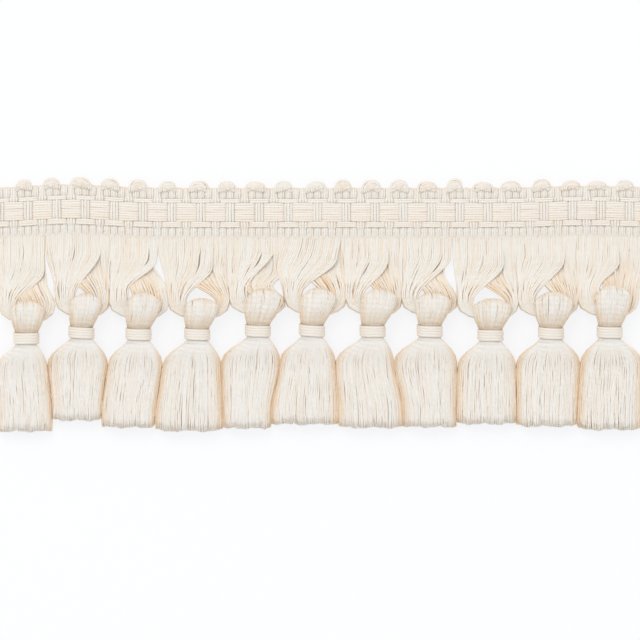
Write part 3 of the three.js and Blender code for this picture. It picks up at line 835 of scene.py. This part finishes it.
def loops_piece():
    yarns = Yarns()
    for number, unit in enumerate(UNITS):
        rng = np.random.default_rng(LOOPS_SEED + number)
        paths = unit_loops(number, unit, rng)
        own = vary(rng, LOOP_TONE, 0.32, (LOOPS_A_UNIT, 1))

        # Painted shade: the back bundle is darker near the head, where the front one covers it.
        _, turn_y = unit_plan(unit)
        y = paths[..., 1]
        behind = np.arange(paths.shape[1]) > LEG_LEVELS + TURN_STEPS / 2
        covered_shade = behind * ease(16, 9, y) * ease(-6, -2, y - turn_y)
        inward = np.linspace(0.25, 1, LOOPS_A_UNIT)[:, None]
        tone = own - 0.85 * covered_shade * inward * rng.uniform(0, 1.2, (LOOPS_A_UNIT, 1))
        yarns.add(sway(paths), HANGING_YARN, 4, ALONG_Z, HANGING_FLAT, tone)
    return yarns.piece("loops_yarns", LOOP_YARN, "loops", "loops")


# The tassels

OUTER_YARNS = 58                 # of a head
INNER_YARNS = 14
HEAD_STEPS = 21
HEAD_YARN = (0.2, 0.13)          # radius over the head, and at the neck
INNER_YARN = (0.55, 0.25)
INNER_SHRINK = 0.5
# A head's form, by the share of its rise: how far its middle has moved from the tie's to
# its own, half its thickness, and the shares and heights of its middle.
WIDTH_LEVELS = (0, 0.05, 0.2, 0.38, 0.6, 0.8, 1.0)
WIDTH_SHIFTS = (0, 0.1, 0.3, 0.6, 0.9, 1, 1)
THICK_LEVELS = (0, 0.05, 0.4, 0.75, 1)
HALF_THICKS = (2.6, 3.1, 4.0, 4.0, 3.2)
HEAD_CENTRES = ((0, 0.1, 0.4), (TIE_MIDDLE, 3.5, HEAD_MIDDLE))
NECK_HALF = 3.2
COLLAR_HALF = 3.7                # just over the tie
SHOULDER_DROP = 0.24             # of the fold at the head's sides, in rises
FOLD = 0.3                       # share of a yarn's half in which it turns over the loops
NECK_INSIDE = 0.9                # length of the head's yarns inside the tie
LOWEST_TASSEL_YARN = 0.25

SKIRT_COLUMNS = 46
SKIRT_ROWS = 9
SKIRT_YARNS = SKIRT_COLUMNS * SKIRT_ROWS
SKIRT_STEPS = 15
SKIRT_YARN = (0.2, 0.275)        # radius inside the tie, and below it
SKIRT_INSIDE = 1.2               # length of the skirt's yarns inside the tie
FLARE = 3.5                      # drop in which a skirt gains most of its width
SKIRT_NECK_WIDTH = (NECK_HALF, 3.75)  # half of it inside the tie, and just below it
SKIRT_NECK_THICK = (2.6, 3.0)    # and half its thickness
NECK_OVAL = 0.92                 # 1 where the neck's sides come to a point, 0 for a box
SKIRT_HEIGHT = 4.1               # of its top row
SKIRT_EDGE_DROP = 2.9            # of that row at the skirt's sides
LOCKS = 19
LOCK_PULL = 0.05
MOST_LOCKS = 60                  # more than there are, with room for strays on both sides
LOCK_ROOM = 10
# Where neighbouring skirts first meet, at MEET_Y, from the first's left to the last's right.
MEETS = (-97.2, -81.6, -63.6, -47.2, -29.7, -12.0, 4.6, 22.0, 41.2, 58.8, 78.0, 96.8)
MEET_Y = -17.0


def head_width(belly, share):
    """Half the head's width and the share of its shift, at a share of its rise."""
    widths = [
        NECK_HALF, COLLAR_HALF, mix(COLLAR_HALF, 0.88 * belly, 0.6), 0.88 * belly,
        0.97 * belly, belly, 0.95 * belly,
    ]
    return np.interp(share, WIDTH_LEVELS, widths), np.interp(share, WIDTH_LEVELS, WIDTH_SHIFTS)


def head_paths(unit, rng, count, shrink):
    """Yarns from the neck's front over the fold to its back, fanned out round the loops.

    Also each point's share of the head's rise. shrink is 0 for the outermost yarns.
    """
    lean = (unit["head_right"] - unit["head_left"]) / 2
    belly = (unit["head_left"] + unit["head_right"]) / 2
    fan = np.linspace(-1, 1, count)[:, None]
    fan = np.clip(vary(rng, fan, 0.35 / count, fan.shape), -1, 1)
    path = np.linspace(0, 1, HEAD_STEPS)[None, :]
    half_turn = np.abs(1 - 2 * path)           # 1 at both necks, 0 at the fold
    top = unit["rise"] * (1 - SHOULDER_DROP * np.abs(fan) ** 2.3) * mix(1, 0.76, shrink)
    top = vary(rng, top, 0.12, fan.shape)
    up = top * np.sin((1 - half_turn) * np.pi / 2) ** 0.9
    share = np.clip(up / unit["rise"], 0, 1)

    # Side to side: the head's own width, drawn in a little at the fold by the bundles.
    half, shift = head_width(belly, share)
    x = unit["tie_x"] + shift * lean + fan * (half - 0.25) * mix(1, 0.8, shrink)
    eye_x = mix(unit["eye_left"] + 0.2, unit["eye_right"] - 0.2, (fan + 1) / 2)
    head_x = unit["tie_x"] + lean + fan * 0.95 * belly
    x = mix(x, mix(eye_x, head_x, 0.7), ease(FOLD, 0.0, half_turn))

    # Front to back: round across the head, and round over the fold.
    thick = np.interp(share, THICK_LEVELS, HALF_THICKS)
    edge = ease(0.02, 0.25, share) * 1.5
    domed = (1 - np.abs(fan) ** 2.4) ** 0.5
    folded = np.clip(half_turn / FOLD, 0, 1)
    folded = np.sqrt(np.clip(1 - (1 - folded) ** 2, 0, 1))
    z = (edge + (thick - edge) * domed) * mix(1, 0.75, shrink) * folded
    z = z + vary(rng, 0, 0.1, fan.shape) * ease(0.02, 0.3, share)
    z = np.interp(share, *HEAD_CENTRES) + np.where(path < 0.5, z, -z)

    y = unit["tie_top"] - NECK_INSIDE + up + NECK_INSIDE * ease(0, 1.5, up)
    drift = wander(rng, count, HEAD_STEPS, 0.06, 3, 1.3) * ease(1.0, 0.8, half_turn)
    lift = np.abs(wander(rng, count, HEAD_STEPS, 0.05, 2, 1.0))
    return join(x + drift, y, np.maximum(z + lift, LOWEST_TASSEL_YARN)), share


def skirt_paths(number, unit, rng):
    """Cut yarns from inside the tie, out with the flare and down to their ends.

    Also each yarn's place across the skirt and in its layers, both from -1 to 1.
    """
    top = unit["tie_top"] - TIE_HEIGHT
    order = np.arange(SKIRT_YARNS)
    column, row = order % SKIRT_COLUMNS, order // SKIRT_COLUMNS
    spread = vary(rng, 0.25 + 0.5 * (row % 2), 0.35, SKIRT_YARNS)
    place = (column + spread) / SKIRT_COLUMNS * 2 - 1
    place = np.clip(place, -0.995, 0.995)
    layer = (row + 0.5) / SKIRT_ROWS * 2 - 1
    frontness = (layer + 1) / 2

    # Down to an end that is a little longer at the skirt's corners and nowhere even.
    hem = 0.45 * np.abs(place) ** 8
    hem = hem + 0.22 * np.sin(7 * place + rng.uniform(0, 6)) + 0.12 * np.sin(17 * place + number)
    ends = unit["skirt_end"] + 0.2 + hem + rng.uniform(0, 1, SKIRT_YARNS) ** 2 * 1.2
    share = np.linspace(0, 1, SKIRT_STEPS)[None, :]
    y = mix(top + SKIRT_INSIDE, ends[:, None], share ** 1.15)
    down = np.maximum(top - 0.1 - y, 0)
    freed = ease(0, 0.7, down)

    # Out from the neck to the skirt's sides.
    flare = 1 - np.exp(-((down / FLARE) ** 1.8))
    lower = ease(MEET_Y + 1, unit["skirt_end"] + 4, y)
    left = mix(MEETS[number - 1], unit["skirt_left"], lower)
    right = mix(MEETS[number], unit["skirt_right"], lower)
    neck_x = unit["tie_x"] + place[:, None] * mix(*SKIRT_NECK_WIDTH, freed)
    wide_x = mix(left + 0.1, right - 0.1, (place[:, None] + 1) / 2)
    x = mix(neck_x, wide_x, flare)

    # From the neck's oval down to layers that lie on the surface.
    oval = np.sqrt(1 - NECK_OVAL * place ** 2)
    neck_z = TIE_MIDDLE + (layer * oval)[:, None] * mix(*SKIRT_NECK_THICK, freed)
    height = SKIRT_HEIGHT - SKIRT_EDGE_DROP * np.abs(place) ** 5
    low_z = 0.3 + frontness ** 0.55 * height
    z = mix(neck_z, low_z[:, None], ease(0, 8, down))
    z = z + 0.5 * np.sin(np.pi * np.clip(down / 9, 0, 1)) * frontness[:, None]

    # Yarns cling together in locks toward their ends, and each one is crinkled.
    lock = np.round((place + 1) / 2 * LOCKS + 0.45 * rng.normal(0, 1, SKIRT_YARNS))
    width = unit["skirt_right"] - unit["skirt_left"]
    pull = (lock / LOCKS * 2 - 1 - place) * width / 2
    x = x + pull[:, None] * LOCK_PULL * ease(3, 16, down)
    lock_drift = wander(rng, MOST_LOCKS, SKIRT_STEPS, 0.08, 2, 0.8)
    x = x + lock_drift[lock.astype(int) + LOCK_ROOM] * ease(1.5, 10, down)
    x = x + wander(rng, SKIRT_YARNS, SKIRT_STEPS, 0.11, 5, 1.5) * ease(1.5, 8, down)
    z = z + wander(rng, SKIRT_YARNS, SKIRT_STEPS, 0.04, 3, 1.1) * ease(1.5, 8, down)
    return join(x, y, np.maximum(z, LOWEST_TASSEL_YARN)), place, layer


def add_head(yarns, unit, rng):
    """The folded skein over the tie: fine yarns outside, and a few thick ones that fill it."""
    neck = ease(0.7, 1, np.abs(1 - 2 * np.linspace(0, 1, HEAD_STEPS)))
    outer, share = head_paths(unit, rng, OUTER_YARNS, 0.0)
    radii = mix(*HEAD_YARN, neck) * rng.uniform(0.9, 1.2, (OUTER_YARNS, 1))
    # Painted shade: the outer yarns are darker at the neck over the tie, at the rim of the fold
    # and toward the head's sides, besides their own random tones.
    tone = 0.5 + 0.5 * ease(0.05, 0.55, share) - 0.5 * ease(0.82, 1.0, share)
    tone = vary(rng, tone, 0.4, (OUTER_YARNS, 1))
    tone = tone - 0.45 * np.abs(np.linspace(-1, 1, OUTER_YARNS)[:, None]) ** 4
    yarns.add(outer, radii, 4, ALONG_X, 0.85, tone)
    inner, _ = head_paths(unit, rng, INNER_YARNS, INNER_SHRINK)
    inner[..., 2] = np.maximum(inner[..., 2], INNER_YARN[0])
    # The filling yarns are dark as painted shade inside the head.
    yarns.add(inner, mix(*INNER_YARN, neck), 4, ALONG_X, 1.0, 0.35)


def add_skirt(yarns, number, unit, rng):
    """The skein's cut ends below the tie, the hidden rows plainer than those in front, with
    painted shade that darkens the rows further back and the skirt's sides.
    """
    paths, place, layer = skirt_paths(number, unit, rng)
    along = np.linspace(0, 1, SKIRT_STEPS)
    radii = mix(*SKIRT_YARN, ease(0, 0.3, along)) * mix(1, 0.6, ease(0.92, 1, along))
    radii = radii * rng.uniform(0.85, 1.15, (SKIRT_YARNS, 1))
    # Painted shade: rows further back are darker, and so are the yarns at the skirt's sides below
    # the neck, besides their own random tones.
    own = vary(rng, 0.72, 0.22, SKIRT_YARNS) + 0.34 * layer
    tone = own[:, None] - 1.1 * np.abs(place[:, None]) ** 7 * ease(0.1, 0.3, along)
    front = layer > 0.2
    yarns.add(paths[front], radii[front], 4, ALONG_Z, 1.35, tone[front])
    yarns.add(paths[~front], radii[~front], 3, ALONG_Z, 1.3, tone[~front])


def tassel_piece(number, unit):
    rng = np.random.default_rng(TASSEL_SEED + number)
    yarns = Yarns()
    add_head(yarns, unit, rng)
    add_skirt(yarns, number, unit, rng)
    name = f"tassel_{number:02d}"
    return yarns.piece(f"{name}_yarns", TASSEL_YARN, "tassel", name)


# The ties

TIE_TURNS = 4
TIE_STEPS = 36                   # points in one turn
TIE_THREAD_RADIUS = 0.34
TIE_THREAD_FLAT = 1.45           # how much wider a thread is along the neck
TIE_SPARE = 0.05                 # room round the neck for the thread


def tie_piece(number, unit):
    """Thread wound round the neck from back to back, bowed down a little in front."""
    rng = np.random.default_rng(TIE_SEED + number)
    steps = TIE_TURNS * TIE_STEPS
    turns = np.linspace(0, TIE_TURNS, steps)
    angle = np.pi + 2 * np.pi * turns
    across = boxy(np.sin(angle), 0.85)
    out = boxy(np.cos(angle), 0.85)
    half_band = TIE_THREAD_RADIUS * TIE_THREAD_FLAT
    pitch = (TIE_HEIGHT + 0.2 - 2 * half_band) / TIE_TURNS

    # The thread steps down to its next turn behind the neck more than in front.
    level = np.floor(turns) + ease(0.3, 0.7, turns % 1 * (out < 0) + (out >= 0) * 0.5)
    y = unit["tie_top"] + 0.25 - half_band - pitch * mix(turns, level, 0.3)
    y = y - 0.3 * (np.maximum(out, 0) - 0.35) + vary(rng, 0, 0.15) * across
    swell = wander(rng, 1, steps, 0.03, 4, 6)[0]
    half = TIE_WIDTH / 2 - TIE_THREAD_RADIUS + TIE_SPARE + swell
    thick = TIE_THICK / 2 - TIE_THREAD_RADIUS + TIE_SPARE + swell
    x = unit["tie_x"] + half * across
    z = np.maximum(TIE_MIDDLE + thick * out, TIE_THREAD_RADIUS)
    yarns = Yarns()
    yarns.add(join(x, y, z)[None], TIE_THREAD_RADIUS, 8, ALONG_Y, TIE_THREAD_FLAT, 0.75)
    name = f"tie_{number:02d}"
    return yarns.piece(f"{name}_thread", TIE_THREAD, "tie", name)


ground = ground_piece()
heading = heading_piece()
loops_piece()
for number, unit in enumerate(UNITS, start=1):
    tassel_piece(number, unit)
    tie_piece(number, unit)


# Floor, light and camera, in metres

FLOOR_SIDE = 6.0
FLOOR_DROP = 0.0002              # below the part, so that no faces coincide
FLOOR_COLOUR = (0.25, 0.235, 0.205)
FLOOR_GLOW_COLOUR = (0.917, 0.947, 1)
FLOOR_GLOW = 0.778
WORLD_STRENGTH = 0.935
KEY_PLACE = (-0.35, 0.75, 1.1)
KEY_SIZE = 0.7
KEY_POWER = 4.2
PHOTO_WIDTH = 0.192              # what the photo's width shows
CAMERA_HEIGHT = 1.5
CAMERA_Y = -0.0045
SENSOR_WIDTH = 36                # and the lens, in millimetres


def pale_floor():
    """A white floor whose glow keeps the shadows on it soft and light."""
    half = FLOOR_SIDE / 2
    mesh = bpy.data.meshes.new("floor")
    corners = [(-half, -half, 0), (half, -half, 0), (half, half, 0), (-half, half, 0)]
    mesh.from_pydata(corners, [], [(0, 1, 2, 3)])
    material, _, _ = new_material("pale_floor", {
        "Base Color": (*FLOOR_COLOUR, 1),
        "Roughness": 0.9,
        "Specular IOR Level": 0.1,
        "Emission Color": (*FLOOR_GLOW_COLOUR, 1),
        "Emission Strength": FLOOR_GLOW,
    })
    mesh.materials.append(material)
    floor = bpy.data.objects.new("floor", mesh)
    floor.location.z = -FLOOR_DROP
    bpy.context.collection.objects.link(floor)


def white_world():
    world = bpy.data.worlds.new("soft_white")
    world.use_nodes = True
    background = world.node_tree.nodes["Background"]
    background.inputs["Color"].default_value = (1, 1, 1, 1)
    background.inputs["Strength"].default_value = WORLD_STRENGTH
    bpy.context.scene.world = world


def key_light():
    """One soft light from above the heading, aimed at the origin."""
    data = bpy.data.lights.new("key", "AREA")
    data.shape = "SQUARE"
    data.size = KEY_SIZE
    data.energy = KEY_POWER
    lamp = bpy.data.objects.new("key", data)
    lamp.location = KEY_PLACE
    x, y, z = KEY_PLACE
    lamp.rotation_euler = (math.atan2(math.hypot(x, y), z), 0, math.atan2(-x, y) + math.pi)
    bpy.context.collection.objects.link(lamp)


def photo_camera():
    """Straight above, with the photo's width filling the view."""
    data = bpy.data.cameras.new("camera")
    data.sensor_width = SENSOR_WIDTH
    data.lens = SENSOR_WIDTH * CAMERA_HEIGHT / PHOTO_WIDTH
    data.clip_start = 0.05
    data.clip_end = 20
    camera = bpy.data.objects.new("camera", data)
    camera.location = (0, CAMERA_Y, CAMERA_HEIGHT)
    bpy.context.collection.objects.link(camera)
    bpy.context.scene.camera = camera


pale_floor()
white_world()
key_light()
photo_camera()
scene = bpy.context.scene
scene.view_settings.view_transform = "Standard"
scene.cycles.max_bounces = 16
scene.cycles.diffuse_bounces = 8
